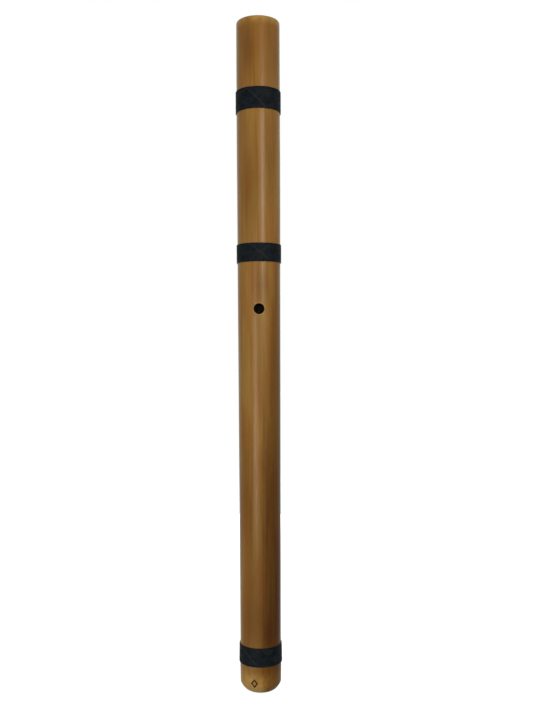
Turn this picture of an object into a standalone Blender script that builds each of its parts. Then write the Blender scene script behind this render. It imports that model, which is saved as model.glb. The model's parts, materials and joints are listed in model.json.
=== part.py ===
"""End-blown notched bamboo flute: one bored bamboo tube and three thread bindings.

The origin is the centre of the foot, and +Z runs along the tube to the blowing end.
The thumb hole faces -Y. The blowing notch and the six finger holes face +Y.
All sizes are in metres.
"""

import math

import bpy
from mathutils import Matrix

# ---------------------------------------------------------------- driving dimensions

LENGTH = 0.606

# outside of the tube
HEAD_RADIUS = 0.01985
TAPER_START = 0.481             # the tube is parallel above this height and tapers below it
TAPER = 0.0034                  # radius lost per unit of length below TAPER_START
NODE_HEIGHT = 0.024             # the last node of the culm leaves a slight swelling
NODE_SWELL = 0.00036
NODE_REACH = 0.014
RIM_ROUND_RADIAL = 0.0008       # sanded edge of the blowing end
RIM_ROUND_HEIGHT = 0.0018
FOOT_ROUND_RADIAL = 0.0063      # the foot is chamfered and sanded round
FOOT_ROUND_HEIGHT = 0.0072
FOOT_ROUND_POWER = 1.37         # superellipse power: 1 is a straight chamfer, 2 is a quarter ellipse

# bore
BORE_RADIUS_HEAD = 0.0150
BORE_RADIUS_FOOT = 0.0140
BORE_EDGE_ROUND = 0.0005
FOOT_HOLE_RADIUS = 0.0065       # the hole left through the last node
FOOT_WALL = 0.009               # thickness of the node at that hole
FOOT_BOWL = 0.010               # height over which the node curves into the bore

# tone holes, as heights above the foot and radii
THUMB_HOLE = (0.3447, 0.00455)
FINGER_HOLES = [
    (0.3060, 0.0050),
    (0.2697, 0.0052),
    (0.2333, 0.0052),
    (0.1909, 0.0055),
    (0.1515, 0.0052),
    (0.0970, 0.0043),
]

# blowing notch, cut down from the rim on the +Y side
NOTCH_WIDTH = 0.012
NOTCH_DEPTH = 0.0095            # down to the sharp edge, on the bore side
NOTCH_SLOPE = 1.75              # fall of the bevel from the bore side to the outside

# bindings, as (name, lower edge, upper edge)
BINDINGS = [
    ("upper_binding", 0.5232, 0.5426),
    ("middle_binding", 0.3870, 0.4035),
    ("lower_binding", 0.0253, 0.0419),
]
BINDING_GAP = 0.0003            # between the tube and the winding's inner face
BINDING_THICKNESS = 0.0006
BINDING_ROUND = 0.0003

# facets
TURN_STEPS = 64
HOLE_SIDES = 24
ARC_STEPS = 5
MERGE_DISTANCE = 0.00001

# colours, linear
BAMBOO_COLOUR = (0.30, 0.165, 0.060, 1.0)
THREAD_COLOUR = (0.010, 0.012, 0.013, 1.0)


# ---------------------------------------------------------------- shared construction

def clear_scene():
    """Removes every object, so that the script gives the same result each time."""
    for item in list(bpy.data.objects):
        bpy.data.objects.remove(item, do_unlink=True)


def new_collection(name):
    """A collection of that name, linked to the scene."""
    collection = bpy.data.collections.new(name)
    bpy.context.scene.collection.children.link(collection)
    return collection


def new_material(name, colour, roughness):
    """A plain Principled material."""
    material = bpy.data.materials.new(name)
    material.use_nodes = True
    shader = material.node_tree.nodes["Principled BSDF"]
    shader.inputs["Base Color"].default_value = colour
    shader.inputs["Roughness"].default_value = roughness
    shader.inputs["Metallic"].default_value = 0.0
    return material


def turned(name, profile, collection, material):
    """A body of revolution about Z. The profile is a closed loop of (radius, height),
    and it runs down the outer side first, so that its faces point out."""
    count = len(profile)
    points = [(radius, 0.0, height) for radius, height in profile]
    edges = [(i, (i + 1) % count) for i in range(count)]
    mesh = bpy.data.meshes.new(name)
    mesh.from_pydata(points, edges, [])
    mesh.materials.append(material)
    item = bpy.data.objects.new(name, mesh)
    collection.objects.link(item)
    screw = item.modifiers.new("turn", "SCREW")
    screw.axis = "Z"
    screw.angle = math.tau
    screw.steps = TURN_STEPS
    screw.render_steps = TURN_STEPS
    screw.use_merge_vertices = True
    screw.merge_threshold = MERGE_DISTANCE
    screw.use_smooth_shade = True
    return item


def quarter_round(radial, height, power):
    """Offsets (inward, down) along a superelliptic corner, from the flat end to the side."""
    offsets = []
    for step in range(ARC_STEPS + 1):
        angle = 0.5 * math.pi * step / ARC_STEPS
        inward = radial * (1.0 - math.sin(angle) ** (2.0 / power))
        down = height * (1.0 - math.cos(angle) ** (2.0 / power))
        offsets.append((inward, down))
    return offsets


def outer_radius(height):
    """Radius of the tube's outside: parallel, then a straight taper, then the node's swelling."""
    straight = HEAD_RADIUS - TAPER * max(0.0, TAPER_START - height)
    swell = NODE_SWELL * math.exp(-((height - NODE_HEIGHT) / NODE_REACH) ** 2)
    return straight + swell


def cut(item, cutter):
    """Takes the cutter's shape out of the item."""
    boolean = item.modifiers.new("cut_" + cutter.name, "BOOLEAN")
    boolean.operation = "DIFFERENCE"
    boolean.solver = "EXACT"
    boolean.object = cutter


def hide_cutter(cutter, collection):
    """Keeps a cutter out of the model, as a wire in its own collection."""
    for owner in list(cutter.users_collection):
        owner.objects.unlink(cutter)
    collection.objects.link(cutter)
    cutter.hide_render = True
    cutter.display_type = "WIRE"


# ---------------------------------------------------------------- bamboo tube

def tube_profile():
    """Closed outline of the tube: rim, outside, foot, foot hole, node bowl and bore."""
    profile = []
    rim_radius = outer_radius(LENGTH)
    for inward, down in quarter_round(RIM_ROUND_RADIAL, RIM_ROUND_HEIGHT, 2.0):
        profile.append((rim_radius - inward, LENGTH - down))
    for height in (TAPER_START, 2.5 * NODE_HEIGHT, 1.7 * NODE_HEIGHT, NODE_HEIGHT, 0.6 * NODE_HEIGHT):
        profile.append((outer_radius(height), height))
    foot_radius = outer_radius(FOOT_ROUND_HEIGHT)
    for inward, up in reversed(quarter_round(FOOT_ROUND_RADIAL, FOOT_ROUND_HEIGHT, FOOT_ROUND_POWER)):
        profile.append((foot_radius - inward, up))
    profile.append((FOOT_HOLE_RADIUS, 0.0))
    for step in range(ARC_STEPS + 1):
        angle = 0.5 * math.pi * step / ARC_STEPS
        radius = FOOT_HOLE_RADIUS + (BORE_RADIUS_FOOT - FOOT_HOLE_RADIUS) * math.sin(angle)
        profile.append((radius, FOOT_WALL + FOOT_BOWL * (1.0 - math.cos(angle))))
    profile.append((BORE_RADIUS_HEAD, LENGTH - BORE_EDGE_ROUND))
    profile.append((BORE_RADIUS_HEAD + BORE_EDGE_ROUND, LENGTH))
    return profile


def hole_cutter(name, height, radius, side, collection):
    """A cylinder across the wall at that height, on the +Y side (1) or the -Y side (-1)."""
    wall_middle = side * 0.5 * (outer_radius(height) + BORE_RADIUS_FOOT)
    bpy.ops.mesh.primitive_cylinder_add(
        vertices=HOLE_SIDES,
        radius=radius,
        depth=HEAD_RADIUS,
        location=(0.0, wall_middle, height),
        rotation=(0.5 * math.pi, 0.0, 0.0),
    )
    cutter = bpy.context.object
    cutter.name = name
    hide_cutter(cutter, collection)
    return cutter


def notch_cutter(collection):
    """A U-shaped prism through the +Y wall. It falls as it goes outwards, which leaves
    the sharp blowing edge on the bore side and a bevel on the outside."""
    half_width = 0.5 * NOTCH_WIDTH
    edge_height = LENGTH - NOTCH_DEPTH
    above_rim = LENGTH + NOTCH_SLOPE * HEAD_RADIUS
    outline = [(half_width, above_rim), (-half_width, above_rim)]
    for step in range(2 * ARC_STEPS + 1):
        angle = math.pi * (1.0 + step / (2.0 * ARC_STEPS))
        across = half_width * math.cos(angle)
        outline.append((across, edge_height + half_width + half_width * math.sin(angle)))
    curve = bpy.data.curves.new("notch_outline", "CURVE")
    curve.dimensions = "2D"
    curve.fill_mode = "BOTH"
    curve.extrude = 0.5 * HEAD_RADIUS
    spline = curve.splines.new("POLY")
    spline.points.add(len(outline) - 1)
    for point, (across, height) in zip(spline.points, outline):
        point.co = (across, height, 0.0, 1.0)
    spline.use_cyclic_u = True
    guide = bpy.data.objects.new("notch_outline", curve)
    collection.objects.link(guide)
    bpy.context.view_layer.update()
    evaluated = guide.evaluated_get(bpy.context.evaluated_depsgraph_get())
    mesh = bpy.data.meshes.new_from_object(evaluated)
    bpy.data.objects.remove(guide, do_unlink=True)
    stand_up = Matrix.Rotation(0.5 * math.pi, 4, "X")
    to_wall = Matrix.Translation((0.0, BORE_RADIUS_HEAD + 0.25 * HEAD_RADIUS, 0.0))
    slope = Matrix.Identity(4)
    slope[2][1] = -NOTCH_SLOPE
    slope[2][3] = NOTCH_SLOPE * BORE_RADIUS_HEAD
    mesh.transform(slope @ to_wall @ stand_up)
    cutter = bpy.data.objects.new("notch_cutter", mesh)
    collection.objects.link(cutter)
    weld = cutter.modifiers.new("weld", "WELD")
    weld.merge_threshold = MERGE_DISTANCE
    hide_cutter(cutter, collection)
    return cutter


def make_tube(parts, cutters, material):
    """The culm: turned, then drilled and notched."""
    tube = turned("bamboo_tube", tube_profile(), parts, material)
    cut(tube, hole_cutter("thumb_hole_cutter", THUMB_HOLE[0], THUMB_HOLE[1], -1, cutters))
    for number, (height, radius) in enumerate(FINGER_HOLES, start=1):
        cut(tube, hole_cutter(f"finger_hole_cutter_{number}", height, radius, 1, cutters))
    cut(tube, notch_cutter(cutters))
    return tube


# ---------------------------------------------------------------- thread bindings

def binding_profile(low, high):
    """Closed outline of a winding that follows the tube, with rounded outer corners."""
    outside = BINDING_GAP + BINDING_THICKNESS
    return [
        (outer_radius(high) + outside - BINDING_ROUND, high),
        (outer_radius(high) + outside, high - BINDING_ROUND),
        (outer_radius(low) + outside, low + BINDING_ROUND),
        (outer_radius(low) + outside - BINDING_ROUND, low),
        (outer_radius(low) + BINDING_GAP, low),
        (outer_radius(0.5 * (low + high)) + BINDING_GAP, 0.5 * (low + high)),
        (outer_radius(high) + BINDING_GAP, high),
    ]


def make_bindings(parts, material):
    """One closed ring for each winding of thread."""
    for name, low, high in BINDINGS:
        turned(name, binding_profile(low, high), parts, material)


# ---------------------------------------------------------------- assembly

clear_scene()
part_collection = new_collection("bamboo_flute")
cutter_collection = new_collection("cutters")
bamboo = new_material("bamboo", BAMBOO_COLOUR, 0.42)
thread = new_material("waxed_thread", THREAD_COLOUR, 0.55)
make_tube(part_collection, cutter_collection, bamboo)
make_bindings(part_collection, thread)
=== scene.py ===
"""End-blown notched bamboo flute, seen from the thumb's side.

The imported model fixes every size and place. This script makes what shows: the lacquered culm with its
sanded edges and burnt holes, and three bindings of black waxed thread, each wound in crossing diamonds.
"""

import json

import bmesh
import bpy
import numpy as np
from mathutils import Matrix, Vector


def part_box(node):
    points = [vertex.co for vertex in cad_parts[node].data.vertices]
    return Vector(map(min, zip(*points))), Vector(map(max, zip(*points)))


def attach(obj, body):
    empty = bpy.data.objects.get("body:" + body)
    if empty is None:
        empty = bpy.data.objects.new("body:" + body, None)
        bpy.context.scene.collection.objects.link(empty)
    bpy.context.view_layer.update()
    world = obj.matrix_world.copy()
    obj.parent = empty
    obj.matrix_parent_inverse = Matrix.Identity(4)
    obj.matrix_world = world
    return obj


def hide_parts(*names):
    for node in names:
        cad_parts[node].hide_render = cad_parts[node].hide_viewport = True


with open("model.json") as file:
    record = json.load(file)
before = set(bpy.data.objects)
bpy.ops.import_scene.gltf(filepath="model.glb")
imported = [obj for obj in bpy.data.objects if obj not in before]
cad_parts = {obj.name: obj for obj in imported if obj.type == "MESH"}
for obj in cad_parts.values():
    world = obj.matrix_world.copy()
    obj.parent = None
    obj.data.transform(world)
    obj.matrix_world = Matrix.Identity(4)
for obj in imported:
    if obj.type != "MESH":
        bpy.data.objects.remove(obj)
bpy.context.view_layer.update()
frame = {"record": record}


# ------------------------------------------------------------------ camera, studio and floor
# The flute stands upright on a white floor in a white studio. The camera is level with the middle of the
# tube, square to the thumb hole, and a quarter of a degree off plumb.

tube_low, tube_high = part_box("bamboo_tube")
LENGTH = tube_high.z - tube_low.z

CAMERA_ASIDE, CAMERA_DISTANCE = 0.0065, 0.7515
OFF_PLUMB = 0.00467             # radians
camera_data = bpy.data.cameras.new("camera")
camera_data.sensor_width = 36.0
camera_data.lens = 41.67
camera = bpy.data.objects.new("camera", camera_data)
camera.location = (CAMERA_ASIDE, -CAMERA_DISTANCE, 0.5 * LENGTH)
camera.rotation_euler = (0.5 * np.pi, OFF_PLUMB, 0.0)
bpy.context.scene.collection.objects.link(camera)
bpy.context.scene.camera = camera

# lamp colours, from the warmest
WARM = (1.0, 0.87, 0.74)
HALF_WARM = (1.0, 0.91, 0.80)
PALE_WARM = (1.0, 0.91, 0.88)


def softbox(name, place, target, width, height, watts, tint=(1.0, 1.0, 1.0)):
    """A rectangular soft light at place, aimed at target, that isn't seen itself."""
    data = bpy.data.lights.new(name, "AREA")
    data.shape = "RECTANGLE"
    data.size = width
    data.size_y = height
    data.energy = watts
    data.color = tint
    light = bpy.data.objects.new(name, data)
    light.location = place
    aim = np.subtract(target, place)
    pitch = np.arctan2(np.hypot(aim[0], aim[1]), -aim[2])
    light.rotation_euler = (pitch, 0.0, np.arctan2(aim[1], aim[0]) - 0.5 * np.pi)
    light.visible_camera = False
    bpy.context.scene.collection.objects.link(light)
    return light


# Two tall boxes in front draw the long highlights, one down the upper half of the tube and one down the
# lower. Two weak ones lift the lower right side and the foot, and the one behind brightens both rims.
softbox("upper_right_box", (0.27, -0.70, 0.585), (0.0, 0.0, 0.45), 0.19, 0.37, 2.46, HALF_WARM)
softbox("lower_left_box", (-0.275, -0.70, 0.20), (0.0, 0.0, 0.24), 0.14, 0.40, 1.60, PALE_WARM)
softbox("lower_right_box", (0.28, -0.70, 0.12), (0.0, 0.0, 0.20), 0.20, 0.50, 0.20, WARM)
softbox("floor_bounce", (-0.24, -0.22, -0.16), (0.0, 0.0, 0.01), 0.20, 0.20, 0.16, WARM)
softbox("back_box", (0.0, 0.80, 0.35), (0.0, 0.0, 0.30), 0.20, 0.90, 3.0, WARM)
# The fills light the sides and the back, and leave no reflection in the lacquer.
for name, place, watts in (("left_fill", (-1.0, -0.4, 0.75), 2.6), ("right_fill", (1.1, -0.2, 0.95), 2.2),
                           ("back_fill", (0.5, 1.2, 0.5), 3.0)):
    fill = softbox(name, place, (0.0, 0.0, 0.3), 0.9, 0.9, watts)
    fill.visible_glossy = False

# The camera sees the studio as pure white. What it throws on the flute is brightest from behind, and falls
# off towards the camera's side.
FRONT_STRENGTH, BEHIND_STRENGTH = 0.26, 0.85
world = bpy.data.worlds.new("studio")
world.use_nodes = True
bpy.context.scene.world = world
nodes = world.node_tree.nodes
links = world.node_tree.links
nodes.clear()
seen = nodes.new("ShaderNodeBackground")
seen.inputs["Color"].default_value = (1.0, 1.0, 1.0, 1.0)
seen.inputs["Strength"].default_value = 1.0
room = nodes.new("ShaderNodeBackground")
room.inputs["Color"].default_value = (0.93, 1.0, 0.98, 1.0)
direction = nodes.new("ShaderNodeTexCoord")
facing = nodes.new("ShaderNodeSeparateXYZ")
links.new(direction.outputs["Generated"], facing.inputs["Vector"])
backdrop = nodes.new("ShaderNodeMapRange")
backdrop.interpolation_type = "SMOOTHSTEP"
backdrop.inputs["From Min"].default_value = 0.35
backdrop.inputs["From Max"].default_value = 0.95
backdrop.inputs["To Min"].default_value = FRONT_STRENGTH
backdrop.inputs["To Max"].default_value = BEHIND_STRENGTH
links.new(facing.outputs["Y"], backdrop.inputs["Value"])
links.new(backdrop.outputs["Result"], room.inputs["Strength"])
ray = nodes.new("ShaderNodeLightPath")
either = nodes.new("ShaderNodeMixShader")
out = nodes.new("ShaderNodeOutputWorld")
links.new(ray.outputs["Is Camera Ray"], either.inputs["Fac"])
links.new(room.outputs["Background"], either.inputs[1])
links.new(seen.outputs["Background"], either.inputs[2])
links.new(either.outputs["Shader"], out.inputs["Surface"])

# The floor shows to the camera alone: the boxes above stand for the light that it would throw back.
FLOOR_REACH = 6.0
FLOOR_DROP = 0.0004             # it lies this far under the foot, so that the two don't share a plane
floor_mesh = bpy.data.meshes.new("floor")
floor_mesh.from_pydata(
    [(-FLOOR_REACH, -FLOOR_REACH, 0.0), (FLOOR_REACH, -FLOOR_REACH, 0.0),
     (FLOOR_REACH, FLOOR_REACH, 0.0), (-FLOOR_REACH, FLOOR_REACH, 0.0)],
    [], [(0, 1, 2, 3)])
floor = bpy.data.objects.new("floor", floor_mesh)
floor.location.z = -FLOOR_DROP
floor.visible_diffuse = False
floor.visible_glossy = False
floor.visible_shadow = False
bpy.context.scene.collection.objects.link(floor)
paper = bpy.data.materials.new("studio_paper")
paper.use_nodes = True
shader = paper.node_tree.nodes["Principled BSDF"]
shader.inputs["Base Color"].default_value = (0.4, 0.4, 0.4, 1.0)
shader.inputs["Roughness"].default_value = 0.9
shader.inputs["Emission Color"].default_value = (1.0, 1.0, 1.0, 1.0)
shader.inputs["Emission Strength"].default_value = 0.86
floor_mesh.materials.append(paper)

bpy.context.scene.view_settings.view_transform = "Standard"


# ------------------------------------------------------------------ bamboo tube
# One length of bamboo, bored out and scraped smooth. The rim and the foot are cut square and sanded,
# the holes are burnt through and their edges rubbed round, and the skin is oiled and lacquered.

HEAD_RADIUS = tube_high.x
TAPER_START = 0.481             # height below which the culm narrows
TAPER = 0.0034                  # what its radius loses for each metre below that
NODE_HEIGHT, NODE_SWELL, NODE_REACH = 0.024, 0.00036, 0.014
OVAL_DEPTH, WAVE_DEPTH = 0.00006, 0.00005
RIM_ROUND_RADIAL, RIM_ROUND_HEIGHT = 0.0008, 0.0018
FOOT_ROUND_RADIAL, FOOT_ROUND_HEIGHT, FOOT_ROUND_POWER = 0.0063, 0.0072, 1.37
BORE_RADIUS_HEAD, BORE_RADIUS_FOOT, BORE_EDGE_ROUND = 0.0150, 0.0140, 0.0005
FOOT_HOLE_RADIUS, FOOT_WALL, FOOT_BOWL = 0.0065, 0.009, 0.010


def culm_radius(angle, height):
    """Outside of the culm: parallel at the head, then a straight taper, and a bell-shaped swelling at the
    last node. It isn't quite round or quite straight: a shallow oval turns as it rises, and a three-sided
    wave comes and goes along it."""
    straight = HEAD_RADIUS - TAPER * np.maximum(0.0, TAPER_START - height)
    swell = NODE_SWELL * np.exp(-(((height - NODE_HEIGHT) / NODE_REACH) ** 2))
    oval = OVAL_DEPTH * np.cos(2.0 * angle + 5.0 * height + 0.4)
    wave = WAVE_DEPTH * np.sin(3.0 * angle - 11.0 * height) * np.sin(29.0 * height + 1.0)
    return straight + swell + oval + wave


def bore_radius(height):
    """Inside of the culm: a straight taper from the head to the foot."""
    share = np.clip(height / LENGTH, 0.0, 1.0)
    return BORE_RADIUS_FOOT + (BORE_RADIUS_HEAD - BORE_RADIUS_FOOT) * share


# The holes stand where the model has them. Each opening box there is centred on its hole.
HOLE_RADII = {
    "thumb_hole": 0.00455, "finger_hole_1": 0.0050, "finger_hole_2": 0.0052, "finger_hole_3": 0.0052,
    "finger_hole_4": 0.0055, "finger_hole_5": 0.0052, "finger_hole_6": 0.0043,
}
holes = []
for opening in frame["record"]["physics"]["openings"]:
    if opening["name"] in HOLE_RADII:
        box_low, box_high = np.array(opening["box_m"])
        centre = 0.5 * (box_low + box_high)
        holes.append((np.arctan2(centre[1], centre[0]), centre[2], HOLE_RADII[opening["name"]]))
holes.sort(key=lambda hole: hole[1])

OUTSIDE_SPACING, BORE_SPACING = 0.007, 0.012
COLUMNS = 160                   # points round the culm
STEP = 2.0 * np.pi / COLUMNS
SPAN = 12                       # columns on each side of a hole that its patch takes the place of
REACH = 9                       # rows above and below a hole, likewise
CELL = 0.0008                   # height between those rows
column_angles = -0.5 * np.pi + STEP * np.arange(COLUMNS)


def row_heights(low, high, spacing):
    """Heights of the grid's rows, rising from low to high: even and close beside each hole, and about
    spacing apart elsewhere."""
    heights = [np.array([low])]
    last = low
    for _, centre_height, _ in holes:
        near = centre_height + CELL * np.arange(-REACH, REACH + 1)
        gap = max(1, int(np.ceil((near[0] - last) / spacing)))
        heights.append(np.linspace(last, near[0], gap + 1)[1:-1])
        heights.append(near)
        last = near[-1]
    gap = max(1, int(np.ceil((high - last) / spacing)))
    heights.append(np.linspace(last, high, gap + 1)[1:])
    return np.concatenate(heights)


def corner(steps, power=2.0):
    """Shares (inward, back) along a superelliptic corner, from its flat end to its side."""
    turn = np.linspace(0.0, 0.5 * np.pi, steps + 1)
    return 1.0 - np.sin(turn) ** (2.0 / power), 1.0 - np.cos(turn) ** (2.0 / power)


def ring_rows(radii, heights):
    """Rows of the turned grid, as (radius at each column, height). One radius for a row stands for all its
    columns."""
    radii = np.asarray(radii, float)
    heights = np.asarray(heights, float)
    if radii.ndim == 1:
        radii = np.repeat(radii[:, None], COLUMNS, axis=1)
    return radii, heights


outer_heights = row_heights(FOOT_ROUND_HEIGHT, LENGTH - RIM_ROUND_HEIGHT, OUTSIDE_SPACING)[::-1]
bore_floor = FOOT_WALL + FOOT_BOWL
bore_heights = row_heights(bore_floor, LENGTH - BORE_EDGE_ROUND, BORE_SPACING)

across_flat = np.linspace(0.0, 1.0, 5)[1:-1, None]
rim_edge = culm_radius(column_angles, LENGTH)[None, :]
inward, back = corner(6)
rim_flat_inner = BORE_RADIUS_HEAD + BORE_EDGE_ROUND
rim_flat = ring_rows(rim_flat_inner + (rim_edge - RIM_ROUND_RADIAL - rim_flat_inner) * across_flat,
                     np.full(len(across_flat), LENGTH))
rim_round = ring_rows(rim_edge - RIM_ROUND_RADIAL * inward[:-1, None],
                      LENGTH - RIM_ROUND_HEIGHT * back[:-1])
outside = ring_rows(culm_radius(column_angles[None, :], outer_heights[:, None]), outer_heights)
foot_edge = culm_radius(column_angles, FOOT_ROUND_HEIGHT)[None, :]
inward, back = corner(14, FOOT_ROUND_POWER)
foot_round = ring_rows(foot_edge - FOOT_ROUND_RADIAL * inward[::-1][1:, None],
                       FOOT_ROUND_HEIGHT * back[::-1][1:])
foot_flat_outer = foot_edge - FOOT_ROUND_RADIAL
foot_flat_inner = FOOT_HOLE_RADIUS + BORE_EDGE_ROUND
foot_flat = ring_rows(foot_flat_outer + (foot_flat_inner - foot_flat_outer) * across_flat,
                      np.zeros(len(across_flat)))
inward, back = corner(3)
foot_hole_edge = ring_rows(FOOT_HOLE_RADIUS + BORE_EDGE_ROUND * inward, BORE_EDGE_ROUND * back)
wall_heights = np.linspace(BORE_EDGE_ROUND, FOOT_WALL, 5)[1:-1]
foot_hole_wall = ring_rows(np.full(len(wall_heights), FOOT_HOLE_RADIUS), wall_heights)
bowl_turn = np.linspace(0.0, 0.5 * np.pi, 9)[:-1]
bowl = ring_rows(FOOT_HOLE_RADIUS + (BORE_RADIUS_FOOT - FOOT_HOLE_RADIUS) * np.sin(bowl_turn),
                 FOOT_WALL + FOOT_BOWL * (1.0 - np.cos(bowl_turn)))
bore = ring_rows(bore_radius(bore_heights), bore_heights)
inward, back = corner(3)
bore_edge = ring_rows(BORE_RADIUS_HEAD + BORE_EDGE_ROUND * inward[::-1][1:],
                      LENGTH - BORE_EDGE_ROUND * back[::-1][1:])

# The rows go once round the wall: over the rim, down the outside, under the foot, up through its hole and
# the bowl above that, and up the bore.
sections = [rim_flat, rim_round, outside, foot_round, foot_flat, foot_hole_edge, foot_hole_wall, bowl,
            bore, bore_edge]
radii = np.concatenate([section[0] for section in sections])
heights = np.concatenate([section[1] for section in sections])
ROWS = len(heights)
OUTSIDE_START = len(rim_flat[1]) + len(rim_round[1])
BORE_START = ROWS - len(bore_edge[1]) - len(bore[1])
points = np.stack([radii * np.cos(column_angles), radii * np.sin(column_angles),
                   np.repeat(heights[:, None], COLUMNS, axis=1)], axis=-1).reshape(-1, 3)

row, column = np.meshgrid(np.arange(ROWS), np.arange(COLUMNS), indexing="ij")
next_row, next_column = (row + 1) % ROWS, (column + 1) % COLUMNS
quads = np.stack([row * COLUMNS + column, next_row * COLUMNS + column,
                  next_row * COLUMNS + next_column, row * COLUMNS + next_column], axis=-1)
keep = np.ones((ROWS, COLUMNS), bool)

# A patch takes each hole through the wall. It stands in the place of a block of the outside's grid and one
# of the bore's, and shares the points round both.
EDGE_ROUND_OUTSIDE, EDGE_ROUND_INSIDE = 0.0005, 0.0004
RUBBED_RING = 0.0006            # width of the pale ring that rubbing leaves round a hole
HOLE_OVAL = 0.02                # a hole is this much wider, and as much lower, than its round drill
around_rows = np.concatenate([np.full(2 * SPAN, -REACH), np.arange(-REACH, REACH),
                              np.full(2 * SPAN, REACH), np.arange(REACH, -REACH, -1)])
around_columns = np.concatenate([np.arange(-SPAN, SPAN), np.full(2 * REACH, SPAN),
                                 np.arange(SPAN, -SPAN, -1), np.full(2 * REACH, -SPAN)])
LOOP = len(around_rows)
all_points = [points]
all_quads = []
vertex_count = len(points)


def hole_patch(hole_angle, hole_height, hole_radius):
    """Rings of points from the opening in the outer grid to the opening in the bore's grid: across the
    outside to the round edge, over a quarter-round, down the wall, over the inner quarter-round, and
    across the bore. A point's place is (along the tangent, along the hole, up)."""
    middle_radius = culm_radius(hole_angle, hole_height)
    middle_bore = bore_radius(hole_height)
    rise = CELL * around_rows
    outer_aside = middle_radius * np.sin(STEP * around_columns)
    inner_aside = middle_bore * np.sin(STEP * around_columns)
    bearing = np.arctan2(rise, outer_aside)
    across, up = np.cos(bearing) * (1.0 + HOLE_OVAL), np.sin(bearing) * (1.0 - HOLE_OVAL)

    def on_outside(aside, lift):
        turned_by = np.arcsin(aside / middle_radius)
        radius = culm_radius(hole_angle + turned_by, hole_height + lift)
        return radius * np.sin(turned_by), radius * np.cos(turned_by)

    def on_bore(aside, lift):
        turned_by = np.arcsin(aside / middle_bore)
        radius = bore_radius(hole_height + lift)
        return radius * np.sin(turned_by), radius * np.cos(turned_by)

    rings = []
    outer_edge = hole_radius + EDGE_ROUND_OUTSIDE + RUBBED_RING
    for share in (0.75, 0.5, 0.25, 0.0):
        aside = outer_edge * across + share * (outer_aside - outer_edge * across)
        lift = outer_edge * up + share * (rise - outer_edge * up)
        tangent, outward = on_outside(aside, lift)
        rings.append((tangent, outward, lift))
    for size in hole_radius + EDGE_ROUND_OUTSIDE + RUBBED_RING * np.array([0.75, 0.5, 0.25, 0.0]):
        tangent, outward = on_outside(size * across, size * up)
        rings.append((tangent, outward, size * up))
    for turn in np.linspace(0.0, 0.5 * np.pi, 6)[1:]:
        size = hole_radius + EDGE_ROUND_OUTSIDE * (1.0 - np.sin(turn))
        tangent, outward = on_outside(size * across, size * up)
        rings.append((tangent, outward - EDGE_ROUND_OUTSIDE * (1.0 - np.cos(turn)), size * up))
    wall_top = rings[-1][1]
    _, bore_side = on_bore(hole_radius * across, hole_radius * up)
    wall_end = bore_side + EDGE_ROUND_INSIDE
    for share in (0.25, 0.5, 0.75):
        rings.append((hole_radius * across, wall_top + share * (wall_end - wall_top), hole_radius * up))
    for turn in np.linspace(0.5 * np.pi, 0.0, 4):
        size = hole_radius + EDGE_ROUND_INSIDE * (1.0 - np.sin(turn))
        tangent, outward = on_bore(size * across, size * up)
        rings.append((tangent, outward + EDGE_ROUND_INSIDE * (1.0 - np.cos(turn)), size * up))
    inner_edge = hole_radius + EDGE_ROUND_INSIDE
    for share in (0.35, 0.7):
        aside = inner_edge * across + share * (inner_aside - inner_edge * across)
        lift = inner_edge * up + share * (rise - inner_edge * up)
        tangent, outward = on_bore(aside, lift)
        rings.append((tangent, outward, lift))
    tangent, outward, lift = np.array(rings).transpose(1, 0, 2)
    x = outward * np.cos(hole_angle) - tangent * np.sin(hole_angle)
    y = outward * np.sin(hole_angle) + tangent * np.cos(hole_angle)
    return np.stack([x, y, hole_height + lift], axis=-1)


# Each patch's rings run from the loop of points round its opening outside to the one round its opening in
# the bore. The outside's rows are counted downwards, and the bore's upwards.
for hole_angle, hole_height, hole_radius in holes:
    centre_column = int(round((hole_angle - column_angles[0]) / STEP)) % COLUMNS
    centre_outer = OUTSIDE_START + int(np.argmin(np.abs(outer_heights - hole_height)))
    centre_bore = BORE_START + int(np.argmin(np.abs(bore_heights - hole_height)))
    open_columns = (centre_column + np.arange(-SPAN, SPAN)) % COLUMNS
    keep[np.ix_(np.arange(centre_outer - REACH, centre_outer + REACH), open_columns)] = False
    keep[np.ix_(np.arange(centre_bore - REACH, centre_bore + REACH), open_columns)] = False
    loop_columns = (centre_column + around_columns) % COLUMNS
    outer_loop = (centre_outer - around_rows) * COLUMNS + loop_columns
    bore_loop = (centre_bore + around_rows) * COLUMNS + loop_columns
    patch = hole_patch(hole_angle, hole_height, hole_radius)
    ring_count = len(patch)
    inner = vertex_count + np.arange(ring_count * LOOP).reshape(ring_count, LOOP)
    chain = np.concatenate([outer_loop[None, :], inner, bore_loop[None, :]])
    forward = np.roll(chain, -1, axis=1)
    all_quads.append(np.stack([chain[:-1], forward[:-1], forward[1:], chain[1:]], axis=-1).reshape(-1, 4))
    all_points.append(patch.reshape(-1, 3))
    vertex_count += ring_count * LOOP

all_quads.insert(0, quads[keep])
points = np.concatenate(all_points)
quads = np.concatenate(all_quads)
# points that no face uses any more are dropped
used, quads = np.unique(quads, return_inverse=True)
points, quads = points[used], quads.reshape(-1, 4)


def mesh_from(name, points, faces):
    """A mesh object in the scene, with its faces' normals turned outwards."""
    mesh = bpy.data.meshes.new(name)
    mesh.from_pydata(points.tolist(), [], faces if isinstance(faces, list) else faces.tolist())
    work = bmesh.new()
    work.from_mesh(mesh)
    bmesh.ops.recalc_face_normals(work, faces=work.faces)
    work.to_mesh(mesh)
    work.free()
    item = bpy.data.objects.new(name, mesh)
    bpy.context.scene.collection.objects.link(item)
    return item


tube = mesh_from("bamboo_culm", points, quads)

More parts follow.
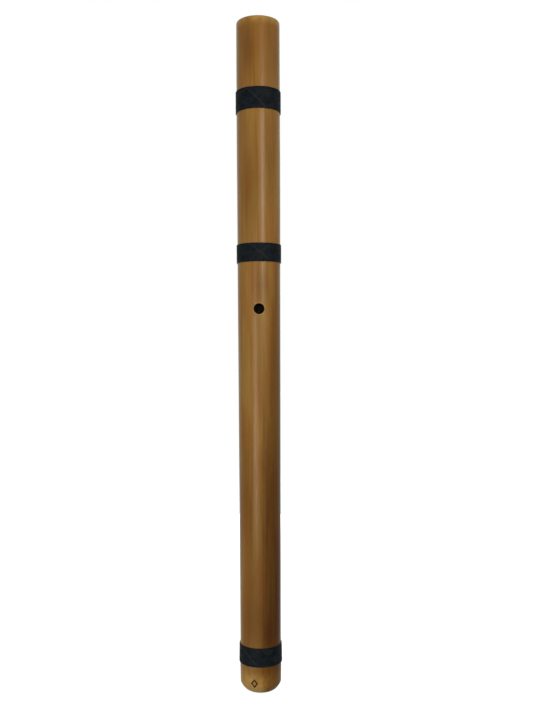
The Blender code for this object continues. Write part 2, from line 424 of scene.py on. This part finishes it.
# The blowing notch is a U-shaped cut through the rim that falls as it goes outwards. The knife is its
# outline, carried from inside the bore to beyond the skin.
NOTCH_HALF_WIDTH, NOTCH_DEPTH, NOTCH_SLOPE = 0.006, 0.0095, 1.75
KNIFE_HEIGHT = 0.06             # enough to clear the rim all the way out
notch_turn = np.pi * (1.0 + np.linspace(0.0, 1.0, 33))
notch_across = np.concatenate([[NOTCH_HALF_WIDTH, -NOTCH_HALF_WIDTH],
                               NOTCH_HALF_WIDTH * np.cos(notch_turn)])
notch_up = np.concatenate([[KNIFE_HEIGHT, KNIFE_HEIGHT], NOTCH_HALF_WIDTH * (1.0 + np.sin(notch_turn))])
notch_ends = []
for outward in (0.5 * BORE_RADIUS_HEAD, 1.5 * HEAD_RADIUS):
    fall = NOTCH_SLOPE * (outward - BORE_RADIUS_HEAD)
    height = LENGTH - NOTCH_DEPTH + notch_up - fall
    notch_ends.append(np.stack([notch_across, np.full_like(notch_across, outward), height], axis=-1))
outline = len(notch_across)
sides = [(i, (i + 1) % outline, outline + (i + 1) % outline, outline + i) for i in range(outline)]
caps = [tuple(range(outline)), tuple(range(2 * outline - 1, outline - 1, -1))]
knife = mesh_from("notch_knife", np.concatenate(notch_ends), sides + caps)
cut = tube.modifiers.new("notch", "BOOLEAN")
cut.operation = "DIFFERENCE"
cut.solver = "EXACT"
cut.object = knife
bpy.context.view_layer.update()
notched = bpy.data.meshes.new_from_object(tube.evaluated_get(bpy.context.evaluated_depsgraph_get()))
tube.modifiers.clear()
tube.data = notched
bpy.data.objects.remove(knife)
SHARP_ANGLE = np.radians(34.0)  # a sharper edge, such as the notch's, stays crisp
notched.shade_smooth()
notched.set_sharp_from_angle(angle=SHARP_ANGLE)

# Masks at the points: how deep in the wall, how burnt, how rubbed and how toasted the bamboo is there, the
# toasting mask also holding painted shade.
flat = np.empty(3 * len(notched.vertices))
notched.vertices.foreach_get("co", flat)
x, y, z = flat.reshape(-1, 3).T
angle, radius = np.arctan2(y, x), np.hypot(x, y)


def ease(value, low, high):
    """Smooth step from 0 at low to 1 at high."""
    share = np.clip((value - low) / (high - low), 0.0, 1.0)
    return share * share * (3.0 - 2.0 * share)


BURNT_BLUR = 0.0001             # half the width over which burnt wall turns to rubbed wood
BORE_DEPTH = 0.985              # past this share of the wall the surface is the bore's, and isn't burnt
skin, core = culm_radius(angle, z), bore_radius(z)
depth = np.clip((skin - radius) / (skin - core), 0.0, 1.0)
burnt = np.zeros_like(depth)
wear_and_sheen = np.zeros_like(depth)
for hole_angle, hole_height, hole_radius in holes:
    aside = -x * np.sin(hole_angle) + y * np.cos(hole_angle)
    same_side = x * np.cos(hole_angle) + y * np.sin(hole_angle) > 0.0
    off_axis = np.hypot(aside, z - hole_height)
    brink = hole_radius + EDGE_ROUND_OUTSIDE
    in_hole = 1.0 - ease(off_axis, brink - BURNT_BLUR, brink + BURNT_BLUR)
    burnt = np.maximum(burnt, in_hole * (depth < BORE_DEPTH) * same_side)
    in_ring = 1.0 - ease(off_axis, brink + BURNT_BLUR, brink + RUBBED_RING)
    wear_and_sheen = np.maximum(wear_and_sheen, in_ring * same_side)

# The culm was toasted over embers, and its right side is darker from mid-length down: partly smoked brown,
# and partly painted shade where the light falls off on that side. The darker side begins a few degrees right
# of the thumb hole, further round where it is higher, and fades out at the back.
SMOKE_AND_SHADE_EDGE_HEIGHTS = [0.06, 0.14, 0.20, 0.25, 0.31, 0.42]
SMOKE_AND_SHADE_EDGE_DEGREES = [9.0, 6.0, 7.0, 14.0, 28.0, 42.0]
SMOKE_AND_SHADE_HEIGHTS = [0.0, 0.028, 0.06, 0.19, 0.28, 0.35, 0.42]
SMOKE_AND_SHADE_STRENGTHS = [0.56, 0.54, 0.68, 0.62, 0.37, 0.26, 0.0]
SMOKE_AND_SHADE_BEFORE, SMOKE_AND_SHADE_AFTER = 13.0, 15.0    # degrees each side of that edge over which it deepens
SMOKE_AND_SHADE_FADE_START, SMOKE_AND_SHADE_FADE_END = 80.0, 165.0
right_of_hole = np.degrees(np.angle(np.exp(1j * (angle + 0.5 * np.pi))))
smoke_and_shade_edge = np.interp(z, SMOKE_AND_SHADE_EDGE_HEIGHTS, SMOKE_AND_SHADE_EDGE_DEGREES)
smoke_and_shade = np.interp(z, SMOKE_AND_SHADE_HEIGHTS, SMOKE_AND_SHADE_STRENGTHS)
toast_and_shade = smoke_and_shade * ease(right_of_hole, smoke_and_shade_edge - SMOKE_AND_SHADE_BEFORE, smoke_and_shade_edge + SMOKE_AND_SHADE_AFTER)
toast_and_shade *= 1.0 - ease(right_of_hole, SMOKE_AND_SHADE_FADE_START, SMOKE_AND_SHADE_FADE_END)

# Each stain is a bell-shaped patch of toasting. One with a negative strength is paler than what it lies on.
STAINS = [
    # degrees to the right of the thumb hole, height, spread in degrees, spread in height, strength
    (-18.0, 0.110, 24.0, 0.050, 0.26),
    (-14.0, 0.060, 40.0, 0.028, 0.34),
    (-8.0, 0.021, 24.0, 0.006, 0.22),
    (-40.0, 0.190, 34.0, 0.050, 0.20),
    (58.0, 0.100, 20.0, 0.060, 0.20),
    (24.0, 0.052, 20.0, 0.012, 0.18),
    (-28.0, 0.580, 17.0, 0.026, 0.34),
    (-22.0, 0.450, 20.0, 0.040, 0.24),
    (30.0, 0.475, 20.0, 0.040, 0.20),
    (8.0, 0.366, 18.0, 0.016, 0.26),
    (6.0, 0.290, 16.0, 0.050, 0.12),
    (23.0, 0.250, 6.0, 0.036, -0.24),
    (40.0, 0.575, 34.0, 0.032, 0.15),
    (-165.0, 0.230, 26.0, 0.110, 0.35),
    (-150.0, 0.420, 18.0, 0.080, 0.30),
    (-120.0, 0.070, 34.0, 0.070, 0.45),
    (-100.0, 0.280, 14.0, 0.070, 0.20),
    (118.0, 0.480, 18.0, 0.060, 0.35),
]
for degrees, stain_height, spread, reach, strength in STAINS:
    off_centre = np.degrees(np.angle(np.exp(1j * np.radians(right_of_hole - degrees))))
    toast_and_shade += strength * np.exp(-((off_centre / spread) ** 2) - ((z - stain_height) / reach) ** 2)
FOOT_RING_PAINTED_SHADE = 0.6           # painted shade: the ring that the flute is set down on is darkened where its contact shadow falls
# a painted contact shadow along the foot's bottom edge
toast_and_shade += FOOT_RING_PAINTED_SHADE * (1.0 - ease(z, 0.0002, 0.0014))
masks = {"depth": depth, "burnt": burnt, "wear_and_sheen": wear_and_sheen, "toast_and_shade": np.clip(toast_and_shade, 0.0, 1.0)}
for name, values in masks.items():
    layer = notched.attributes.new(name, "FLOAT", "POINT")
    layer.data.foreach_set("value", values.astype(np.float32))


class Shading:
    """Short forms for building a material's nodes."""

    def __init__(self, name):
        self.material = bpy.data.materials.new(name)
        self.material.use_nodes = True
        self.tree = self.material.node_tree
        self.shader = self.tree.nodes["Principled BSDF"]

    def node(self, kind, inputs=(), **settings):
        """A new node, with its settings, and its inputs from other sockets or as values."""
        made = self.tree.nodes.new(kind)
        for key, value in settings.items():
            setattr(made, key, value)
        for key, value in dict(inputs).items():
            if isinstance(value, bpy.types.NodeSocket):
                self.tree.links.new(value, made.inputs[key])
            else:
                made.inputs[key].default_value = value
        return made

    def math(self, operation, first, second=0.0):
        """The result of a Math node."""
        made = self.node("ShaderNodeMath", {0: first, 1: second}, operation=operation)
        return made.outputs[0]

    def ramp(self, value, low, high, start=0.0, end=1.0):
        """value, eased from low to high into start to end."""
        made = self.node("ShaderNodeMapRange", {0: value, 1: low, 2: high, 3: start, 4: end},
                         interpolation_type="SMOOTHSTEP")
        return made.outputs[0]

    def noise(self, vector, scale, detail=2.0, roughness=0.5):
        """The value of a Noise Texture."""
        made = self.node("ShaderNodeTexNoise", {"Vector": vector, "Scale": scale, "Detail": detail,
                                                "Roughness": roughness})
        return made.outputs[0]

    def mix(self, share, first, second, blend="MIX"):
        """Two colours mixed."""
        made = self.node("ShaderNodeMix", data_type="RGBA", blend_type=blend)
        for socket, value in ((made.inputs[0], share), (made.inputs[6], first), (made.inputs[7], second)):
            if isinstance(value, bpy.types.NodeSocket):
                self.tree.links.new(value, socket)
            else:
                socket.default_value = value
        return made.outputs[2]

    def stretch(self, vector, scale):
        """The vector with each axis scaled, so that a pattern is drawn out along the others."""
        made = self.node("ShaderNodeMapping", {"Vector": vector, "Scale": scale})
        return made.outputs[0]

    def read(self, name):
        """The value of one of the piece's own attributes."""
        return self.node("ShaderNodeAttribute", attribute_name=name).outputs["Fac"]

    def drive(self, **sockets):
        """Links or sets the shader's own sockets."""
        for key, value in sockets.items():
            socket = self.shader.inputs[key.replace("_", " ")]
            if isinstance(value, bpy.types.NodeSocket):
                self.tree.links.new(value, socket)
            else:
                socket.default_value = value


OLIVE = (0.305, 0.162, 0.031, 1.0)          # the skin's greener bands
RUSSET = (0.285, 0.126, 0.020, 1.0)         # the skin's redder bands
TOAST_AND_SHADE_TINT = (0.24, 0.16, 0.065, 1.0)          # what full toasting, and full painted shade, leave of the colour under it
SANDED = (0.480, 0.280, 0.070, 1.0)         # the wood just under the skin
CUT = (0.480, 0.295, 0.085, 1.0)            # the wall, cut across
FIBRE = (0.175, 0.078, 0.013, 1.0)          # dark fibres, along the skin and end-on in the cuts
CHARRED = (0.020, 0.019, 0.018, 1.0)        # the burnt walls of the holes
RAW_BORE = (0.440, 0.340, 0.205, 1.0)       # the bore, which has no oil or lacquer
SCORCHED = (0.026, 0.007, 0.001, 1.0)       # the lines of the maker's mark
MARK_ACROSS, MARK_HEIGHT = -0.0056, 0.0103
MARK_HALF_WIDTH, MARK_HALF_HEIGHT = 0.0024, 0.0031
MARK_BURNT, MARK_FADED = 0.0004, 0.0008     # distances from the middle of its line

bamboo = Shading("bamboo")
position = bamboo.node("ShaderNodeTexCoord").outputs["Object"]
axes = bamboo.node("ShaderNodeSeparateXYZ", {0: position}).outputs

# the skin's patterns, from fine to broad, by how many there are to a metre across and along the culm
fibres = bamboo.noise(bamboo.stretch(position, (3600.0, 3600.0, 45.0)), 1.0, 2.0, 0.6)
streaks = bamboo.noise(bamboo.stretch(position, (1100.0, 1100.0, 16.0)), 1.0, 3.0, 0.6)
bands = bamboo.noise(bamboo.stretch(position, (420.0, 420.0, 9.0)), 1.0, 2.0, 0.5)
broad = bamboo.noise(bamboo.stretch(position, (110.0, 110.0, 16.0)), 1.0, 3.0, 0.5)
mottle = bamboo.noise(bamboo.stretch(position, (320.0, 320.0, 190.0)), 1.0, 4.0, 0.6)

# bands of olive and russet, with more russet at the head, and dark streaks and fibres over them
russet = bamboo.math("ADD", broad, bamboo.ramp(axes["Z"], 0.52, 0.58, 0.0, 0.08))
skin_colour = bamboo.mix(bamboo.ramp(russet, 0.38, 0.64), OLIVE, RUSSET)
skin_colour = bamboo.mix(bamboo.ramp(streaks, 0.48, 0.78, 0.0, 0.40), skin_colour, FIBRE)
skin_colour = bamboo.mix(bamboo.ramp(fibres, 0.54, 0.74, 0.0, 0.40), skin_colour, FIBRE)
skin_colour = bamboo.mix(bamboo.ramp(bands, 0.50, 0.72, 0.0, 0.22), skin_colour, TOAST_AND_SHADE_TINT, "MULTIPLY")

# both ends and the holes' edges are rubbed down to paler wood, unevenly at the ends
from_rim = bamboo.ramp(axes["Z"], LENGTH - 0.0085, LENGTH - 0.001, 0.0, 0.85)
from_foot = bamboo.ramp(axes["Z"], 0.024, 0.012, 0.0, 0.85)
rubbed_edge = bamboo.read("wear_and_sheen")
rubbing = bamboo.math("MAXIMUM", from_rim, from_foot)
rubbing = bamboo.math("MULTIPLY", rubbing, bamboo.ramp(mottle, 0.34, 0.60, 0.35, 1.0))
rubbing = bamboo.math("MAXIMUM", rubbing, rubbed_edge)
skin_colour = bamboo.mix(rubbing, skin_colour, SANDED)

# toasting and painted shade make one tint that multiplies the colour, raised to the power of the toasting and
# shade at that place
toasting_and_shade = bamboo.math("MULTIPLY", bamboo.read("toast_and_shade"), bamboo.ramp(bands, 0.30, 0.60, 0.90, 1.0))
toasting_and_shade = bamboo.math("MULTIPLY", toasting_and_shade, bamboo.ramp(mottle, 0.34, 0.60, 0.93, 1.0))
toasting_and_shade = bamboo.math("MULTIPLY", toasting_and_shade, bamboo.ramp(rubbed_edge, 0.0, 1.0, 1.0, 0.5))
tint = bamboo.node("ShaderNodeGamma", {"Color": TOAST_AND_SHADE_TINT, "Gamma": toasting_and_shade}).outputs[0]

# where the wall is cut, the fibre bundles show end-on as dark dots, fainter towards the bore
wall_depth = bamboo.read("depth")
cells = bamboo.node("ShaderNodeTexVoronoi",
                    {"Vector": bamboo.stretch(position, (1900.0, 1900.0, 24.0)), "Scale": 1.0})
bundles = bamboo.ramp(cells.outputs["Distance"], 0.42, 0.22)
bundles = bamboo.math("MULTIPLY", bundles, bamboo.ramp(wall_depth, 0.05, 1.0, 0.85, 0.30))
cut_colour = bamboo.mix(bamboo.ramp(mottle, 0.35, 0.65, 0.0, 0.25), CUT, SANDED)
cut_colour = bamboo.mix(bundles, cut_colour, FIBRE)
colour = bamboo.mix(bamboo.ramp(wall_depth, 0.01, 0.07), skin_colour, cut_colour)
colour = bamboo.mix(1.0, colour, tint, "MULTIPLY")
colour = bamboo.mix(bamboo.ramp(wall_depth, 0.965, 0.99), colour, RAW_BORE)
colour = bamboo.mix(bamboo.read("burnt"), colour, CHARRED)

# The maker's mark is a small diamond, drawn with a hot wire above the foot on the thumb's side. The shares of
# its half-width and half-height add up to one along its line.
aside = bamboo.math("ABSOLUTE", bamboo.math("SUBTRACT", axes["X"], MARK_ACROSS))
above = bamboo.math("ABSOLUTE", bamboo.math("SUBTRACT", axes["Z"], MARK_HEIGHT))
ring = bamboo.math("ADD", bamboo.math("DIVIDE", aside, MARK_HALF_WIDTH),
                   bamboo.math("DIVIDE", above, MARK_HALF_HEIGHT))
off_line = bamboo.math("ABSOLUTE", bamboo.math("SUBTRACT", ring, 1.0))
# the distance square to the line that a difference of one in that sum stands for
slant = MARK_HALF_WIDTH * MARK_HALF_HEIGHT / np.hypot(MARK_HALF_WIDTH, MARK_HALF_HEIGHT)
off_line = bamboo.math("MULTIPLY", off_line, slant)
mark = bamboo.ramp(off_line, MARK_FADED, MARK_BURNT)
mark = bamboo.math("MULTIPLY", mark, bamboo.math("LESS_THAN", axes["Y"], 0.0))
colour = bamboo.mix(mark, colour, SCORCHED)

# The fibres stand a little proud and the mark is sunk. Rubbed, cut and burnt places are duller, and the
# lacquer is thin where the skin is toasted and where it carries painted shade, and gone where it is burnt.
grain = bamboo.math("ADD", bamboo.math("MULTIPLY", streaks, 0.6), bamboo.math("MULTIPLY", mottle, 0.4))
grain = bamboo.math("ADD", grain, bamboo.math("MULTIPLY", fibres, 0.4))
grain = bamboo.math("SUBTRACT", grain, mark)
relief = bamboo.node("ShaderNodeBump", {"Height": grain, "Strength": 0.10, "Distance": 0.0002})
gloss = bamboo.ramp(streaks, 0.3, 0.7, 0.31, 0.40)
gloss = bamboo.math("ADD", gloss, bamboo.math("MULTIPLY", rubbing, 0.10))
gloss = bamboo.math("ADD", gloss, bamboo.ramp(wall_depth, 0.01, 0.10, 0.0, 0.12))
gloss = bamboo.math("ADD", gloss, bamboo.math("MULTIPLY", mark, 0.30))
lacquer = bamboo.ramp(toasting_and_shade, 0.0, 0.8, 0.30, 0.02)
lacquer = bamboo.math("MULTIPLY", lacquer, bamboo.math("SUBTRACT", 1.0, mark))
bamboo.drive(Base_Color=colour, Roughness=gloss, Normal=relief.outputs[0], Specular_IOR_Level=0.20,
             Coat_Weight=lacquer, Coat_Roughness=0.28, Coat_IOR=1.4)
notched.materials.clear()
notched.materials.append(bamboo.material)
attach(tube, "root")
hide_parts("bamboo_tube")


# ------------------------------------------------------------------ thread bindings
# Each binding is one length of black waxed thread. Two turns, doubled, lie along each edge. Between them
# the thread goes to and fro across the band, a seventh of a turn each way, until its crossings close up.

THREAD_WIDTH, THREAD_THICKNESS = 0.00060, 0.00042
HALF_STRAND = 0.53              # half its size, and a little more, so that neighbours press together
LAYER_RISE = 0.96               # how far a strand rises over one below, as a share of its thickness
LAST_RISE = 0.18                # how much higher still the last stroke lies, in layers
EDGE_TURNS = 4                  # at each edge, in two layers
EDGE_ZONE = 2.2                 # how wide a strip they take, in threads
EDGE_INSET = 0.42               # how far in from the edge the middle of the outer one lies, in threads
BIGHTS = 7                      # the zigzag meets each edge seven times in every two turns
CROSSING = 2.0 * np.pi / BIGHTS
CORNER_SHARPNESS = 0.992        # of the zigzag's corners, where 1 is a point
SAMPLES = 40                    # points in each there-and-back
EDGE_SAMPLES = 90               # points in each turn along an edge
SIDES = 8                       # points round the thread


def edge_turns():
    """Four turns along an edge, as (angle, turns in from the edge, layer): out, then back on top. Each turn
    is level, and steps to the next over its last seventh."""
    angle = np.linspace(0.0, 2.0 * np.pi * EDGE_TURNS, EDGE_TURNS * EDGE_SAMPLES, endpoint=False)
    turn = angle / (2.0 * np.pi)
    step = np.floor(turn) + ease(turn % 1.0, 6.0 / 7.0, 1.0)
    turns_in = np.interp(step, [0, 1, 2, 3, 4], [1, 0, 0, 1, 2])
    layer = np.interp(step, [1, 2, 3, 4], [0, 1, 1, 0.5])
    return angle, turns_in, layer


def wound_thread(name, lean):
    """A flattened thread carried along its winding: turns along the top edge, the zigzag, and turns along
    the bottom edge. The zigzag's height is a triangle wave of the angle, a little rounded at its corners.
    Where two of its strands cross, the one laid later lies a thread's thickness higher. lean is the angle
    from the thumb hole to the middle of the last crossing, in degrees."""
    low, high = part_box(name)
    band_radius = 0.5 * (high.x - low.x)
    zone_top, zone_low = high.z - EDGE_ZONE * THREAD_WIDTH, low.z + EDGE_ZONE * THREAD_WIDTH
    slope = np.arctan2(zone_top - zone_low, CROSSING * band_radius)
    rounds = int(np.ceil(CROSSING * band_radius * np.sin(slope) / THREAD_WIDTH))
    advance = 2.0 * CROSSING + CROSSING / (rounds * BIGHTS)
    ticks = np.arange((BIGHTS * rounds - 1) * SAMPLES + SAMPLES // 2 + 1)
    time = ticks / SAMPLES      # counted in there-and-backs
    swing = np.arcsin(CORNER_SHARPNESS * np.cos(2.0 * np.pi * time)) / np.arcsin(CORNER_SHARPNESS)
    wave = 0.5 - 0.5 * swing
    cross_angle = advance * time
    cross_height = zone_top + (zone_low - zone_top) * wave

    # at each height, a down stroke lies over or under the nearest up stroke, whichever was laid later
    layer = np.full(len(ticks), 0.5)
    for sample in range(1, SAMPLES // 2):
        down = ticks[ticks % SAMPLES == sample]
        up = ticks[ticks % SAMPLES == SAMPLES - sample]
        gap = np.abs(np.angle(np.exp(1j * (cross_angle[down][:, None] - cross_angle[up][None, :]))))
        layer[down] = down > up[np.argmin(gap, axis=1)]
        layer[up] = up > down[np.argmin(gap, axis=0)]
    layer = np.convolve(np.pad(layer, 1, "edge"), [0.25, 0.5, 0.25], "valid")
    end = time[-1]
    layer += LAST_RISE * ease(time, end - 0.5, end - 0.42) * (1.0 - ease(time, end - 0.08, end))

    edge_angle, turns_in, edge_layer = edge_turns()
    edge_sweep = 2.0 * np.pi * EDGE_TURNS
    edge_drop = THREAD_WIDTH * (turns_in + EDGE_INSET)
    turned_by = np.concatenate([edge_angle - edge_sweep, cross_angle,
                                cross_angle[-1] + edge_sweep - edge_angle[::-1]])
    height = np.concatenate([high.z - edge_drop, cross_height, low.z + edge_drop[::-1]])
    layer = np.concatenate([edge_layer, layer, edge_layer[::-1]])
    angle = turned_by - (cross_angle[-1] - 0.5 * CROSSING) - 0.5 * np.pi + np.radians(lean)
    radius = culm_radius(angle, height) + THREAD_THICKNESS * (0.5 + LAYER_RISE * layer)
    path = np.stack([radius * np.cos(angle), radius * np.sin(angle), height], axis=-1)

    # the thread's own axes at each point, and an oval ring of points square to it
    along = np.gradient(path, axis=0)
    along /= np.linalg.norm(along, axis=1, keepdims=True)
    outward = np.stack([np.cos(angle), np.sin(angle), np.zeros_like(angle)], axis=-1)
    outward -= along * np.sum(along * outward, axis=1, keepdims=True)
    outward /= np.linalg.norm(outward, axis=1, keepdims=True)
    sideways = np.cross(along, outward)
    around = 2.0 * np.pi * (np.arange(SIDES) + 0.5) / SIDES
    rings = (path[:, None, :]
             + HALF_STRAND * THREAD_WIDTH * np.cos(around)[None, :, None] * sideways[:, None, :]
             + HALF_STRAND * THREAD_THICKNESS * np.sin(around)[None, :, None] * outward[:, None, :])
    count = len(path)
    ring, side = np.meshgrid(np.arange(count - 1), np.arange(SIDES), indexing="ij")
    beside = (side + 1) % SIDES
    faces = np.stack([ring * SIDES + side, (ring + 1) * SIDES + side,
                      (ring + 1) * SIDES + beside, ring * SIDES + beside], axis=-1).reshape(-1, 4).tolist()
    faces += [list(range(SIDES)), list(range(count * SIDES - 1, (count - 1) * SIDES - 1, -1))]
    item = mesh_from(name + "_thread", rings.reshape(-1, 3), faces)
    item.data.shade_smooth()

    # painted sheen: the last stroke is painted greyest, where light catches its lay, and half as much the up
    # stroke that it crosses at mid-height
    quarter = SAMPLES // 4
    middle = len(ticks) - 1 - quarter
    up_middles = np.flatnonzero(ticks % SAMPLES == SAMPLES - quarter)
    gap = np.abs(np.angle(np.exp(1j * (cross_angle[up_middles] - cross_angle[middle]))))
    partner = up_middles[np.argmin(gap)]
    wear_and_sheen = 1.0 * (np.abs(ticks - middle) <= quarter) + 0.5 * (np.abs(ticks - partner) <= quarter)
    wear_and_sheen = np.concatenate([np.zeros(len(edge_angle)), wear_and_sheen, np.zeros(len(edge_angle))])
    attribute = item.data.attributes.new("wear_and_sheen", "FLOAT", "POINT")
    attribute.data.foreach_set("value", np.repeat(wear_and_sheen, SIDES).astype(np.float32))
    return item


DEEP_BLACK = (0.0042, 0.0070, 0.0100, 1.0)
WAXY_BLACK = (0.0078, 0.0120, 0.0165, 1.0)
# a grey that stands in for the sheen the light leaves along a stroke
PAINTED_SHEEN_BLACK = (0.021, 0.026, 0.031, 1.0)
thread = Shading("waxed_thread")
position = thread.node("ShaderNodeTexCoord").outputs["Object"]
fuzz = thread.noise(position, 2500.0, 2.0, 0.6)
wax = thread.noise(position, 300.0, 2.0, 0.5)
thread_colour = thread.mix(thread.ramp(wax, 0.35, 0.65), DEEP_BLACK, WAXY_BLACK)
# painted sheen on the last stroke and the stroke that it crosses
thread_colour = thread.mix(thread.read("wear_and_sheen"), thread_colour, PAINTED_SHEEN_BLACK)
relief = thread.node("ShaderNodeBump", {"Height": fuzz, "Strength": 0.25, "Distance": 0.0001})
thread.drive(Base_Color=thread_colour, Roughness=thread.ramp(wax, 0.3, 0.7, 0.42, 0.6),
             Normal=relief.outputs[0], Specular_IOR_Level=0.15)

for name, lean in (("upper_binding", -5.0), ("middle_binding", 4.0), ("lower_binding", -30.0)):
    binding = wound_thread(name, lean)
    binding.data.materials.append(thread.material)
    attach(binding, "root")
    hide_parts(name)
